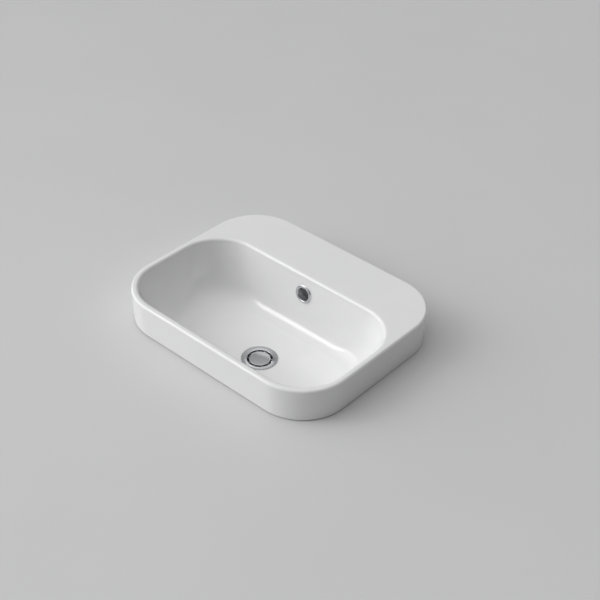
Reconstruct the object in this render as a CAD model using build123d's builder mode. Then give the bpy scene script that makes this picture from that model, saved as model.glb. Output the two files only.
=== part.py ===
from build123d import *
import math
import os

# Inset washbasin of vitreous china with a push-down waste. Sizes are in millimetres.
# The origin is the middle of the rim's outline on the counter top. +X runs along the
# width, +Y towards the wall and +Z up. The bowl hangs through a cut-out in the counter.

# Outline of the raised rim
width = 500.0
depth = 400.0
corner_radius = 100.0
rim_height = 70.0
outer_draft = 2.3
outer_edge_round = 5.0

# Mouth of the bowl
rim_width = 14.0
deck_depth = 121.0
mouth_corner_radius = 86.0
lip_round = 6.5

# Bowl walls: the two ends sweep into the floor, the long walls turn tighter
end_draft = 9.0
end_foot_radius = 66.0
long_draft = 8.5
long_foot_radius = 34.0
foot_depth = 119.0
floor_corner_share = 0.95
corner_opening = 1.6
foot_rings = 9
last_ring_angle = 86.0
china_thickness = 11.0

# Deck and apron behind the bowl, hollow from below
deck_thickness = 12.0
apron_thickness = 12.0
hollow_front = 25.0

# Bedding seal between rim and counter
seal_thickness = 1.5
seal_setback = 3.0
seal_width = 6.0

# Waste hole in the floor and the boss under it
waste_y = -50.0
waste_depth = 125.0
recess_radius = 35.4
recess_depth = 3.5
floor_landing = 3.0
hole_radius = 22.75
boss_radius = 42.0
boss_length = 40.0
boss_round = 3.0

# Overflow hole and the cast channel behind the rear wall
overflow_height = 30.5
overflow_hole_radius = 16.0
channel_width = 36.0
channel_gap = 13.0
channel_shell = 8.0
channel_rise = 18.5
channel_bend = 46.0
channel_fall = 7.0
channel_drop = 23.0
chamber_radius = 27.5
chamber_height = 14.0

# Overflow ring and its push-in sleeve
ring_radius = 19.2
ring_proud = 2.6
ring_edge_round = 2.0
ring_bore_radius = 13.2
ring_barrel_radius = 14.2
ring_barrel_length = 9.0
sleeve_clearance = 0.1
sleeve_length = 13.0
sleeve_slot_width = 2.0
sleeve_slot_length = 9.0
sleeve_slots = 4

# Waste body: flange, cup, seat cone and threaded tail
flange_radius = 34.75
flange_proud = 0.5
flange_dish = 1.5
flange_edge_round = 0.8
gasket_thickness = 1.0
gasket_width = 5.5
gasket_setback = 0.25
cup_radius = 25.0
cup_wall = 1.9
cup_depth = 9.8
cup_clearance = 0.9
tail_radius = 20.95
tail_bore_radius = 18.4
slot_drop = 18.0
slot_height = 11.0
slot_count = 4
slot_angle = 52.0

# Crossbar inside the tail that carries the cartridge
crossbar_drop = 34.0
crossbar_height = 6.0
hub_radius = 11.5
crossbar_arms = 4
arm_width = 3.0
arm_overlap = 1.0

# Seals and nuts under the boss
thread_clearance = 0.05
washer_clearance = 0.3
tail_seal_radius = 33.0
tail_seal_height = 6.0
tail_seal_taper = 3.0
slip_washer_radius = 31.0
slip_washer_height = 1.5
backnut_across_flats = 55.0
backnut_height = 8.0
nut_chamfer = 1.0

# Outlet adapter from the tail to the trap thread
adapter_gap = 2.0
adapter_thread_radius = 23.9
adapter_thread_length = 24.0
adapter_collar_height = 8.0
adapter_across_flats = 56.0
adapter_bore_radius = 17.5
tail_engagement = 19.0
adapter_washer_height = 2.0

# Push-down plug
plug_travel = 5.5
cap_radius = 20.7
cap_thickness = 2.4
cap_crown = 0.6
cap_drop = 0.1
cap_edge_round = 0.5
cap_boss_radius = 14.0
cap_boss_height = 1.5
fin_count = 10
fin_reach = 24.4
fin_width = 1.4
fin_height = 1.6
plug_seal_radius = 22.4
plug_seal_thickness = 2.0
plug_seal_bevel = 0.9
retainer_radius = 13.0
retainer_thickness = 1.5
stud_radius = 3.0
stud_reach = 2.0
stud_end_gap = 0.3
shoulder_radius = 5.5
shoulder_height = 1.2

# Push-lock cartridge
housing_radius = 8.0
housing_wall = 1.7
press_gap = 0.4
housing_length = 30.0
housing_floor = 2.0
housing_collar_radius = 10.5
housing_collar_height = 3.0
cartridge_cap_height = 2.0
stem_radius = 3.5
running_clearance = 0.05
crown_clearance = 0.4
crown_gap = 0.4
crown_height = 3.0
tooth_height = 1.2
cam_gap = 0.2
cam_core_radius = 4.4
cam_height = 5.0
cam_teeth = 8
cam_tooth_width = 1.6
pilot_radius = 3.4
pilot_length = 3.0
spring_radius = 4.9
spring_gap = 0.3
spring_wire = 0.9
spring_turns = 5
locknut_across_flats = 21.0
locknut_height = 3.5

# Levels that the sizes above give, measured from the counter top
waste_floor = rim_height - waste_depth
flange_top = waste_floor + flange_proud
recess_floor = waste_floor - recess_depth
flange_underside = recess_floor + gasket_thickness
boss_bottom = waste_floor - boss_length
cone_bottom = flange_top - cup_depth - (cup_radius - tail_bore_radius)
outer_cup_radius = cup_radius + cup_wall
outer_cone_top = flange_top - cup_depth - cup_wall
outer_cone_bottom = outer_cone_top - (outer_cup_radius - tail_radius)
hub_top = flange_top - crossbar_drop
seal_bottom = boss_bottom - tail_seal_height
washer_bottom = seal_bottom - slip_washer_height
backnut_bottom = washer_bottom - backnut_height
adapter_top = backnut_bottom - adapter_gap
adapter_bottom = adapter_top - adapter_collar_height - adapter_thread_length
tail_bottom = adapter_top - tail_engagement
adapter_seat = tail_bottom - adapter_washer_height
cap_top = flange_top - flange_dish - cap_drop
cap_bottom = cap_top - cap_thickness
plug_seal_top = cap_bottom - cap_boss_height
plug_seal_bottom = plug_seal_top - plug_seal_thickness
retainer_bottom = plug_seal_bottom - retainer_thickness
housing_top = retainer_bottom - shoulder_height - plug_travel - press_gap
housing_bottom = housing_top - housing_length
housing_bore_radius = housing_radius - housing_wall
crown_radius = housing_bore_radius - crown_clearance
crown_top = housing_top - cartridge_cap_height - crown_gap
crown_bottom = crown_top - crown_height
cam_top = crown_bottom - cam_gap
bowl_front = -depth / 2 + rim_width
bowl_rear = depth / 2 - deck_depth
mouth_middle = (bowl_front + bowl_rear) / 2
mouth_half_width = width / 2 - rim_width
mouth_half_depth = (bowl_rear - bowl_front) / 2
counter_inset = rim_height * math.tan(math.radians(outer_draft))

# The waste's axis, and the plane of its half section with radius along x and height along y
waste_axis = Axis((0, waste_y, 0), (0, 0, 1))
waste_section = Plane(origin=(0, waste_y, 0), x_dir=(1, 0, 0), z_dir=(0, -1, 0))


def level_plane(height):
    """A level plane at a height, centred on the waste."""
    return Plane(origin=(0, waste_y, height), x_dir=(1, 0, 0), z_dir=(0, 0, 1))


def wall_inset(below_rim, draft, foot_radius, shell):
    """How far a bowl wall has come in from the mouth. A shell moves the wall outwards."""
    slope = math.radians(draft)
    centre_depth = foot_depth - foot_radius
    tangent_depth = centre_depth + foot_radius * math.sin(slope)
    centre_inset = tangent_depth * math.tan(slope) + foot_radius * math.cos(slope)
    radius = foot_radius + shell
    turn_depth = centre_depth + radius * math.sin(slope)
    if below_rim <= turn_depth:
        straight = (turn_depth - below_rim) * math.tan(slope)
        return centre_inset - radius * math.cos(slope) - straight
    drop = min(below_rim - centre_depth, radius)
    return centre_inset - math.sqrt(radius**2 - drop**2)


def bowl_ring(below_rim, shell=0.0):
    """The bowl's rounded outline at a depth below the rim."""
    half_width = mouth_half_width - wall_inset(below_rim, end_draft, end_foot_radius, shell)
    half_depth = mouth_half_depth - wall_inset(below_rim, long_draft, long_foot_radius, shell)
    mouth_share = mouth_corner_radius / mouth_half_depth
    progress = (below_rim / (foot_depth + shell)) ** corner_opening
    share = mouth_share + (floor_corner_share - mouth_share) * progress
    with BuildSketch(Plane.XY.offset(rim_height - below_rim)) as ring:
        with Locations((0, mouth_middle)):
            RectangleRounded(2 * half_width, 2 * half_depth, share * half_depth)
    return ring.sketch


def foot_depths(shell=0.0):
    """Depths of the rings round the foot, closer together as the wall turns level."""
    first = math.radians(end_draft)
    last = math.radians(last_ring_angle)
    centre_depth = foot_depth - end_foot_radius
    angles = [first + (last - first) * i / (foot_rings - 1) for i in range(foot_rings)]
    return [centre_depth + (end_foot_radius + shell) * math.sin(angle) for angle in angles]


def half_section(*points):
    """A closed half section about the waste's axis, from radius and height points."""
    with BuildSketch(waste_section) as section:
        with BuildLine():
            Polyline(*points, close=True)
        make_face()
    return section.sketch


def ring_sketch(height, outer, inner):
    """A flat ring about the waste's axis."""
    with BuildSketch(level_plane(height)) as ring:
        Circle(outer)
        Circle(inner, mode=Mode.SUBTRACT)
    return ring.sketch


def nut_sketch(height, across_flats, inner):
    """A hexagon with a round hole about the waste's axis."""
    with BuildSketch(level_plane(height)) as nut:
        RegularPolygon(across_flats / 2, 6, major_radius=False)
        Circle(inner, mode=Mode.SUBTRACT)
    return nut.sketch


def wall_y(height):
    """Where the bowl's rear wall stands at a height."""
    return bowl_rear - (rim_height - height) * math.tan(math.radians(long_draft))


def channel_sketch(rise, thickness):
    """The overflow channel's outline from the side: down the rear wall, then to the waste."""
    slope = math.tan(math.radians(long_draft))
    fall = math.tan(math.radians(channel_fall))
    offset = china_thickness / math.cos(math.radians(long_draft)) + channel_gap / 2
    outlet_height = flange_top - channel_drop
    start = wall_y(0) + offset
    corner_z = (outlet_height + fall * (start - waste_y)) / (1 - fall * slope)
    top = overflow_height + rise
    with BuildSketch(Plane.YZ) as outline:
        with BuildLine() as path:
            FilletPolyline(
                (wall_y(top) + offset, top),
                (start + slope * corner_z, corner_z),
                (waste_y, outlet_height),
                radius=channel_bend,
            )
        trace(path.line, line_width=thickness)
    return outline.sketch


# Basin body, one piece of glazed china
with BuildPart() as basin_body:
    with BuildSketch(Plane.XY.offset(rim_height)):
        RectangleRounded(width, depth, corner_radius)
    extrude(amount=rim_height - seal_thickness, dir=(0, 0, -1), taper=outer_draft)
    fillet(basin_body.faces().sort_by(Axis.Z)[-1].edges(), outer_edge_round)

    # Hollow under the deck
    with BuildSketch(Plane.XY.offset(seal_thickness)):
        RectangleRounded(
            width - 2 * (counter_inset + apron_thickness),
            depth - 2 * (counter_inset + apron_thickness),
            corner_radius - counter_inset - apron_thickness,
        )
        with Locations((0, hollow_front)):
            Rectangle(width, depth, align=(Align.CENTER, Align.MIN), mode=Mode.INTERSECT)
    extrude(amount=rim_height - deck_thickness - seal_thickness, mode=Mode.SUBTRACT)

    # Outside of the bowl, which hangs below the counter
    outer_depths = foot_depths(china_thickness)
    loft([bowl_ring(deck_thickness / 2, china_thickness), bowl_ring(outer_depths[0], china_thickness)],
         ruled=True)
    loft([bowl_ring(below_rim, china_thickness) for below_rim in outer_depths])

    # Boss round the waste hole, and the hump of the overflow channel up to the deck
    with BuildSketch(level_plane(boss_bottom)):
        Circle(boss_radius)
    extrude(amount=waste_floor - boss_bottom)
    fillet(basin_body.edges().group_by(Axis.Z)[0], boss_round)
    deck_rise = rim_height - deck_thickness / 2 - overflow_height
    extrude(
        channel_sketch(deck_rise, channel_gap + 2 * channel_shell),
        amount=channel_width / 2 + channel_shell,
        both=True,
    )

    # Inside of the bowl: straight walls, the sweep round the foot, and the falls to the waste
    inner_depths = foot_depths()
    loft([bowl_ring(0), bowl_ring(inner_depths[0])], ruled=True, mode=Mode.SUBTRACT)
    loft([bowl_ring(below_rim) for below_rim in inner_depths], mode=Mode.SUBTRACT)
    with BuildSketch(level_plane(waste_floor)) as landing:
        RectangleRounded(
            2 * (recess_radius + 2 * floor_landing),
            2 * (recess_radius + floor_landing),
            recess_radius,
        )
    loft([bowl_ring(inner_depths[-1]), landing.sketch], ruled=True, mode=Mode.SUBTRACT)

    # Recess, countersunk hole and overflow chamber for the waste
    revolve(
        half_section(
            (0, waste_floor),
            (recess_radius, waste_floor),
            (recess_radius, recess_floor),
            (outer_cup_radius + cup_clearance, recess_floor),
            (outer_cup_radius + cup_clearance, outer_cone_top),
            (hole_radius, outer_cone_top - (outer_cup_radius + cup_clearance - hole_radius)),
            (hole_radius, boss_bottom),
            (0, boss_bottom),
        ),
        axis=waste_axis,
        mode=Mode.SUBTRACT,
    )
    chamber_middle = flange_top - channel_drop
    with BuildSketch(level_plane(chamber_middle - chamber_height / 2)):
        Circle(chamber_radius)
    extrude(amount=chamber_height, mode=Mode.SUBTRACT)
    extrude(
        channel_sketch(channel_rise, channel_gap),
        amount=channel_width / 2,
        both=True,
        mode=Mode.SUBTRACT,
    )

# Overflow hole square to the rear wall
overflow_normal = (0, -math.cos(math.radians(long_draft)), math.sin(math.radians(long_draft)))
overflow_plane = Plane(
    origin=(0, wall_y(overflow_height), overflow_height), x_dir=(1, 0, 0), z_dir=overflow_normal
)
with basin_body:
    with BuildSketch(overflow_plane):
        Circle(overflow_hole_radius)
    extrude(amount=-(china_thickness + channel_gap / 2), mode=Mode.SUBTRACT)
    mouth_edges = basin_body.faces().filter_by(Plane.XY).sort_by(Axis.Z)[-1].inner_wires()[0].edges()
    fillet(mouth_edges, lip_round)
basin_body.part.label = "basin_body"

# Bedding seal of silicone, set back under the rim's edge
with BuildPart() as rim_seal:
    with BuildSketch() as seal_outline:
        outer_setback = counter_inset + seal_setback
        inner_setback = outer_setback + seal_width
        RectangleRounded(
            width - 2 * outer_setback, depth - 2 * outer_setback, corner_radius - outer_setback
        )
        RectangleRounded(
            width - 2 * inner_setback,
            depth - 2 * inner_setback,
            corner_radius - inner_setback,
            mode=Mode.SUBTRACT,
        )
    extrude(amount=seal_thickness)
rim_seal.part.label = "rim_seal"

# Overflow ring: a rounded face with a barrel behind it
with BuildPart() as overflow_ring:
    with BuildSketch(overflow_plane):
        Circle(ring_radius)
    extrude(amount=ring_proud)
    fillet(overflow_ring.edges().sort_by(Axis(overflow_plane.origin, overflow_normal))[-1],
           ring_edge_round)
    with BuildSketch(overflow_plane):
        Circle(ring_barrel_radius)
    extrude(amount=-ring_barrel_length)
    with BuildSketch(overflow_plane.offset(ring_proud)):
        Circle(ring_bore_radius)
    extrude(amount=-(ring_proud + ring_barrel_length), mode=Mode.SUBTRACT)
overflow_ring.part.label = "overflow_ring"

# Sleeve that grips the overflow hole, split into fingers at its far end
with BuildPart() as overflow_sleeve:
    with BuildSketch(overflow_plane):
        Circle(overflow_hole_radius - sleeve_clearance)
        Circle(ring_barrel_radius + sleeve_clearance, mode=Mode.SUBTRACT)
    extrude(amount=-sleeve_length)
    with BuildSketch(overflow_plane.offset(-sleeve_length)):
        with PolarLocations(0, sleeve_slots):
            Rectangle(overflow_hole_radius, sleeve_slot_width, align=(Align.MIN, Align.CENTER))
    extrude(amount=sleeve_slot_length, mode=Mode.SUBTRACT)
overflow_sleeve.part.label = "overflow_sleeve"

# Waste body of plated brass: flange, cup, seat cone, slotted tail and crossbar
with BuildPart() as waste_body:
    revolve(
        half_section(
            (cup_radius, flange_top - flange_dish),
            (flange_radius, flange_top),
            (flange_radius, flange_underside),
            (outer_cup_radius, flange_underside),
            (outer_cup_radius, outer_cone_top),
            (tail_radius, outer_cone_bottom),
            (tail_radius, tail_bottom),
            (tail_bore_radius, tail_bottom),
            (tail_bore_radius, cone_bottom),
            (cup_radius, flange_top - cup_depth),
        ),
        axis=waste_axis,
    )
    fillet(waste_body.edges().filter_by(GeomType.CIRCLE).group_by(Axis.Z)[-1], flange_edge_round)
    slot_top = flange_top - slot_drop
    with BuildSketch(level_plane(slot_top - slot_height)):
        with PolarLocations(0, slot_count, start_angle=90):
            with BuildLine():
                slot_reach = tail_radius + 1
                half_slot = math.radians(slot_angle / 2)
                corner = (slot_reach * math.cos(half_slot), slot_reach * math.sin(half_slot))
                Polyline((0, 0), corner, (corner[0], -corner[1]), close=True)
            make_face()
    extrude(amount=slot_height, mode=Mode.SUBTRACT)
    with BuildSketch(level_plane(hub_top - crossbar_height)):
        with PolarLocations(0, crossbar_arms):
            Rectangle(tail_bore_radius + arm_overlap, arm_width, align=(Align.MIN, Align.CENTER))
        Circle(hub_radius)
        Circle(housing_radius + thread_clearance, mode=Mode.SUBTRACT)
    extrude(amount=crossbar_height)
waste_body.part.label = "waste_body"

# Soft washer between the flange and the recess
with BuildPart() as flange_gasket:
    gasket_outer = flange_radius - gasket_setback
    extrude(ring_sketch(recess_floor, gasket_outer, gasket_outer - gasket_width),
            amount=gasket_thickness)
flange_gasket.part.label = "flange_gasket"

# Tapered rubber seal, slip washer and backnut that clamp the boss from below
with BuildPart() as tail_seal:
    seal_inner = tail_radius + washer_clearance
    revolve(
        half_section(
            (seal_inner, boss_bottom),
            (tail_seal_radius, boss_bottom),
            (tail_seal_radius - tail_seal_taper, seal_bottom),
            (seal_inner, seal_bottom),
        ),
        axis=waste_axis,
    )
tail_seal.part.label = "tail_seal"

with BuildPart() as slip_washer:
    extrude(
        ring_sketch(washer_bottom, slip_washer_radius, tail_radius + washer_clearance),
        amount=slip_washer_height,
    )
slip_washer.part.label = "slip_washer"

with BuildPart() as backnut:
    extrude(
        nut_sketch(backnut_bottom, backnut_across_flats, tail_radius + thread_clearance),
        amount=backnut_height,
    )
    chamfer(backnut.edges().filter_by(GeomType.LINE).group_by(Axis.Z)[0], nut_chamfer)
backnut.part.label = "backnut"

# Outlet adapter, screwed on the tail, whose thread takes the trap
with BuildPart() as outlet_adapter:
    extrude(
        nut_sketch(adapter_top - adapter_collar_height, adapter_across_flats,
                   tail_radius + thread_clearance),
        amount=adapter_collar_height,
    )
    revolve(
        half_section(
            (tail_radius + thread_clearance, adapter_top),
            (adapter_thread_radius, adapter_top),
            (adapter_thread_radius, adapter_bottom),
            (adapter_bore_radius, adapter_bottom),
            (adapter_bore_radius, adapter_seat),
            (tail_radius + thread_clearance, adapter_seat),
        ),
        axis=waste_axis,
    )
outlet_adapter.part.label = "outlet_adapter"

with BuildPart() as adapter_washer:
    extrude(ring_sketch(adapter_seat, tail_radius, adapter_bore_radius),
            amount=adapter_washer_height)
adapter_washer.part.label = "adapter_washer"

# Plug cap with centring fins round its edge
with BuildPart() as plug_cap:
    with BuildSketch(waste_section):
        with BuildLine():
            TangentArc((0, cap_top + cap_crown), (cap_radius, cap_top), tangent=(1, 0))
            Polyline(
                (cap_radius, cap_top),
                (cap_radius, cap_bottom),
                (cap_boss_radius, cap_bottom),
                (cap_boss_radius, plug_seal_top),
                (0, plug_seal_top),
                (0, cap_top + cap_crown),
            )
        make_face()
    revolve(axis=waste_axis)
    fillet(plug_cap.edges().filter_by(Plane.XY).sort_by(Axis.Z)[-1], cap_edge_round)
    with BuildSketch(level_plane(cap_bottom)):
        with PolarLocations(0, fin_count):
            Rectangle(fin_reach, fin_width, align=(Align.MIN, Align.CENTER))
        Circle(cap_boss_radius, mode=Mode.SUBTRACT)
    extrude(amount=fin_height)
    with BuildSketch(level_plane(plug_seal_top)):
        Circle(stud_radius + thread_clearance)
    extrude(amount=cap_boss_height + stud_reach, mode=Mode.SUBTRACT)
plug_cap.part.label = "plug_cap"

# Rubber seal under the cap, bevelled to the seat cone
with BuildPart() as plug_seal:
    revolve(
        half_section(
            (stud_radius + thread_clearance, plug_seal_top),
            (plug_seal_radius, plug_seal_top),
            (plug_seal_radius, plug_seal_bottom + plug_seal_bevel),
            (plug_seal_radius - plug_seal_bevel, plug_seal_bottom),
            (stud_radius + thread_clearance, plug_seal_bottom),
        ),
        axis=waste_axis,
    )
plug_seal.part.label = "plug_seal"

with BuildPart() as seal_retainer:
    extrude(
        ring_sketch(retainer_bottom, retainer_radius, stud_radius + thread_clearance),
        amount=retainer_thickness,
    )
seal_retainer.part.label = "seal_retainer"

# Plunger: stud, shoulder, stem and toothed crown
with BuildPart() as plunger:
    revolve(
        half_section(
            (0, cap_bottom + stud_reach - stud_end_gap),
            (stud_radius, cap_bottom + stud_reach - stud_end_gap),
            (stud_radius, retainer_bottom),
            (shoulder_radius, retainer_bottom),
            (shoulder_radius, retainer_bottom - shoulder_height),
            (stem_radius, retainer_bottom - shoulder_height),
            (stem_radius, crown_top),
            (crown_radius, crown_top),
            (crown_radius, crown_bottom),
            (0, crown_bottom),
        ),
        axis=waste_axis,
    )
    with BuildSketch(level_plane(crown_bottom)):
        with PolarLocations(cam_core_radius, cam_teeth):
            Rectangle(crown_radius, cam_tooth_width, align=(Align.MIN, Align.CENTER))
    extrude(amount=tooth_height, mode=Mode.SUBTRACT)
plunger.part.label = "plunger"

# Cartridge housing, screwed into the crossbar's hub, with its cap and locknut
with BuildPart() as cartridge_housing:
    revolve(
        half_section(
            (housing_bore_radius, housing_top),
            (housing_radius, housing_top),
            (housing_radius, hub_top + housing_collar_height),
            (housing_collar_radius, hub_top + housing_collar_height),
            (housing_collar_radius, hub_top),
            (housing_radius, hub_top),
            (housing_radius, housing_bottom),
            (0, housing_bottom),
            (0, housing_bottom + housing_floor),
            (housing_bore_radius, housing_bottom + housing_floor),
        ),
        axis=waste_axis,
    )
cartridge_housing.part.label = "cartridge_housing"

with BuildPart() as cartridge_cap:
    extrude(
        ring_sketch(housing_top - cartridge_cap_height, housing_bore_radius - thread_clearance,
                    stem_radius + running_clearance),
        amount=cartridge_cap_height,
    )
cartridge_cap.part.label = "cartridge_cap"

with BuildPart() as cartridge_locknut:
    extrude(
        nut_sketch(hub_top - crossbar_height - locknut_height, locknut_across_flats,
                   housing_radius + thread_clearance),
        amount=locknut_height,
    )
cartridge_locknut.part.label = "cartridge_locknut"

# Latch cam: a core with guide teeth, and a pilot that centres the spring
with BuildPart() as latch_cam:
    with BuildSketch(level_plane(cam_top - cam_height)):
        Circle(cam_core_radius)
        with PolarLocations(0, cam_teeth):
            Rectangle(crown_radius, cam_tooth_width, align=(Align.MIN, Align.CENTER))
    extrude(amount=cam_height)
    with BuildSketch(level_plane(cam_top - cam_height - pilot_length)):
        Circle(pilot_radius)
    extrude(amount=pilot_length)
latch_cam.part.label = "latch_cam"

# Return spring between the cam and the housing's floor
with BuildPart() as return_spring:
    coil_bottom = housing_bottom + housing_floor + spring_gap + spring_wire / 2
    coil_top = cam_top - cam_height - spring_gap - spring_wire / 2
    with BuildLine() as coil:
        Helix(
            pitch=(coil_top - coil_bottom) / spring_turns,
            height=coil_top - coil_bottom,
            radius=spring_radius,
            center=(0, waste_y, coil_bottom),
        )
    with BuildSketch(Plane(origin=coil.line @ 0, z_dir=coil.line % 0)):
        Circle(spring_wire / 2)
    sweep(path=coil.line, is_frenet=True)
return_spring.part.label = "return_spring"

os.makedirs("parts", exist_ok=True)
for piece in (
    basin_body,
    rim_seal,
    overflow_ring,
    overflow_sleeve,
    waste_body,
    flange_gasket,
    tail_seal,
    slip_washer,
    backnut,
    outlet_adapter,
    adapter_washer,
    plug_cap,
    plug_seal,
    seal_retainer,
    plunger,
    cartridge_housing,
    cartridge_cap,
    cartridge_locknut,
    latch_cam,
    return_spring,
):
    export_step(piece.part, f"parts/{piece.part.label}.step")
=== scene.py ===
"""Looks for an inset china basin and its push-down waste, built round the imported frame."""

import logging
import math
from dataclasses import dataclass, field
from enum import Enum
from typing import Callable, Iterable, Sequence

import bmesh
import bpy
from mathutils import Matrix, Vector


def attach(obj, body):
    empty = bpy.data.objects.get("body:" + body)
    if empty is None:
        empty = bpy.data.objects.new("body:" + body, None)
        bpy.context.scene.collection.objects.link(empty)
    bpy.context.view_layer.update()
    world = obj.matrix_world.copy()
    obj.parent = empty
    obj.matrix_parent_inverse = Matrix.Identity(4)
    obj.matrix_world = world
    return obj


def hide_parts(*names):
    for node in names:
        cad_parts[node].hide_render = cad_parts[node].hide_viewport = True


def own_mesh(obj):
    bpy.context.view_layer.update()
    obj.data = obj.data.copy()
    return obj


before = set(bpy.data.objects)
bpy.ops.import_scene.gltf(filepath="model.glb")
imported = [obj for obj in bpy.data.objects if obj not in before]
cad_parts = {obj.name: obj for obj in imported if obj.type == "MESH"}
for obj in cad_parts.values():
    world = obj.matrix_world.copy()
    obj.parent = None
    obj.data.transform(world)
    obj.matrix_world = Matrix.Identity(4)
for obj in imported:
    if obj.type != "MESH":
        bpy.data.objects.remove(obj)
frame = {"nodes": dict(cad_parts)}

LOG = logging.getLogger("inset_basin")
MM = 0.001
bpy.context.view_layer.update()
SHARP_ANGLE = math.radians(33)
# Slivers that a cut leaves, in metres, and how far a threaded tube stays under its thread, in millimetres
SLIVER = 0.000003
UNDER_THREAD = 0.15

Point = tuple[float, float]
Colour = tuple[float, float, float]
# A corner of a turned profile: radius, height and the length rounded off on each side of it
Corner = tuple[float, float, float]


class Body(Enum):
    """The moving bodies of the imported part."""

    ROOT = "root"
    PLUG = "plug"
    CAM = "cam"


class Slot(Enum):
    """The record's material slots."""

    CHINA = "china"
    SILICONE = "silicone"
    CHROME = "chrome"
    SATIN_CHROME = "satin_chrome"
    BLACK_RUBBER = "black_rubber"
    FOAM = "foam"
    WHITE_NYLON = "white_nylon"
    GREY_NYLON = "grey_nylon"
    BRASS = "brass"
    SPRING_STEEL = "spring_steel"


# Finishes


class NodeSheet:
    """A new material's node tree, with short calls to add and join nodes."""

    def __init__(self, name: str, colour: Colour, roughness: float, metallic: float = 0.0) -> None:
        """Starts a material from its plain values.

        Args:
            name: The material's name.
            colour: Linear base colour.
            roughness: Roughness of the whole surface, unless a node replaces it.
            metallic: 1 for bare or plated metal.
        """
        self.material = bpy.data.materials.new(name)
        self.material.use_nodes = True
        self.tree = self.material.node_tree
        self.shader = self.tree.nodes["Principled BSDF"]
        self.shader.inputs["Base Color"].default_value = (*colour, 1.0)
        self.shader.inputs["Roughness"].default_value = roughness
        self.shader.inputs["Metallic"].default_value = metallic
        self.place = self.add("ShaderNodeTexCoord").outputs["Object"]

    def add(self, kind: str, **settings: object) -> bpy.types.Node:
        """Adds a node and sets its properties."""
        node = self.tree.nodes.new(kind)
        for name, value in settings.items():
            setattr(node, name, value)
        return node

    def feed(self, node: bpy.types.Node, **inputs: object) -> bpy.types.Node:
        """Sets or joins a node's inputs, named with underscores for spaces."""
        for name, value in inputs.items():
            socket = node.inputs[name.replace("_", " ")]
            if isinstance(value, bpy.types.NodeSocket):
                self.tree.links.new(value, socket)
            else:
                socket.default_value = value
        return node

    def shifted(self, offset: Sequence[float], stretch: Sequence[float] = (1, 1, 1)) -> bpy.types.NodeSocket:
        """Object coordinates moved by an offset and then stretched."""
        mapping = self.add("ShaderNodeMapping")
        return self.feed(mapping, Vector=self.place, Location=offset, Scale=stretch).outputs["Vector"]

    def noise(self, scale: float, detail: float = 2.0, vector: bpy.types.NodeSocket | None = None) -> bpy.types.NodeSocket:
        """Value noise with a number of features a metre."""
        node = self.feed(self.add("ShaderNodeTexNoise"), Vector=vector or self.place, Scale=scale, Detail=detail)
        return node.outputs["Fac"]

    def remap(self, value: bpy.types.NodeSocket, low: float, high: float, to_low: float, to_high: float) -> bpy.types.NodeSocket:
        """Maps a value's range onto another, held at its ends."""
        node = self.feed(self.add("ShaderNodeMapRange"), Value=value, From_Min=low, From_Max=high,
                         To_Min=to_low, To_Max=to_high)
        return node.outputs["Result"]

    def math(self, operation: str, first: object, second: object = 0.0) -> bpy.types.NodeSocket:
        """One math operation on two values."""
        node = self.add("ShaderNodeMath", operation=operation)
        for socket, value in zip(node.inputs, (first, second)):
            if isinstance(value, bpy.types.NodeSocket):
                self.tree.links.new(value, socket)
            else:
                socket.default_value = value
        return node.outputs["Value"]

    def tint(self, factor: bpy.types.NodeSocket, first: Colour, second: Colour) -> bpy.types.NodeSocket:
        """Mixes two colours by a factor."""
        node = self.add("ShaderNodeMix", data_type="RGBA")
        self.tree.links.new(factor, node.inputs[0])
        node.inputs[6].default_value = (*first, 1.0)
        node.inputs[7].default_value = (*second, 1.0)
        return node.outputs[2]

    def bump(self, height: bpy.types.NodeSocket, distance: float, normal: bpy.types.NodeSocket | None = None) -> bpy.types.NodeSocket:
        """A bump of a height map, laid over another normal."""
        node = self.feed(self.add("ShaderNodeBump"), Height=height, Distance=distance, Strength=1.0)
        if normal is not None:
            self.tree.links.new(normal, node.inputs["Normal"])
        return node.outputs["Normal"]

    def colour_from(self, socket: bpy.types.NodeSocket) -> None:
        """Joins the base colour."""
        self.tree.links.new(socket, self.shader.inputs["Base Color"])

    def roughness_from(self, socket: bpy.types.NodeSocket) -> None:
        """Joins the roughness."""
        self.tree.links.new(socket, self.shader.inputs["Roughness"])

    def normal_from(self, socket: bpy.types.NodeSocket) -> None:
        """Joins the normal."""
        self.tree.links.new(socket, self.shader.inputs["Normal"])


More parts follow.
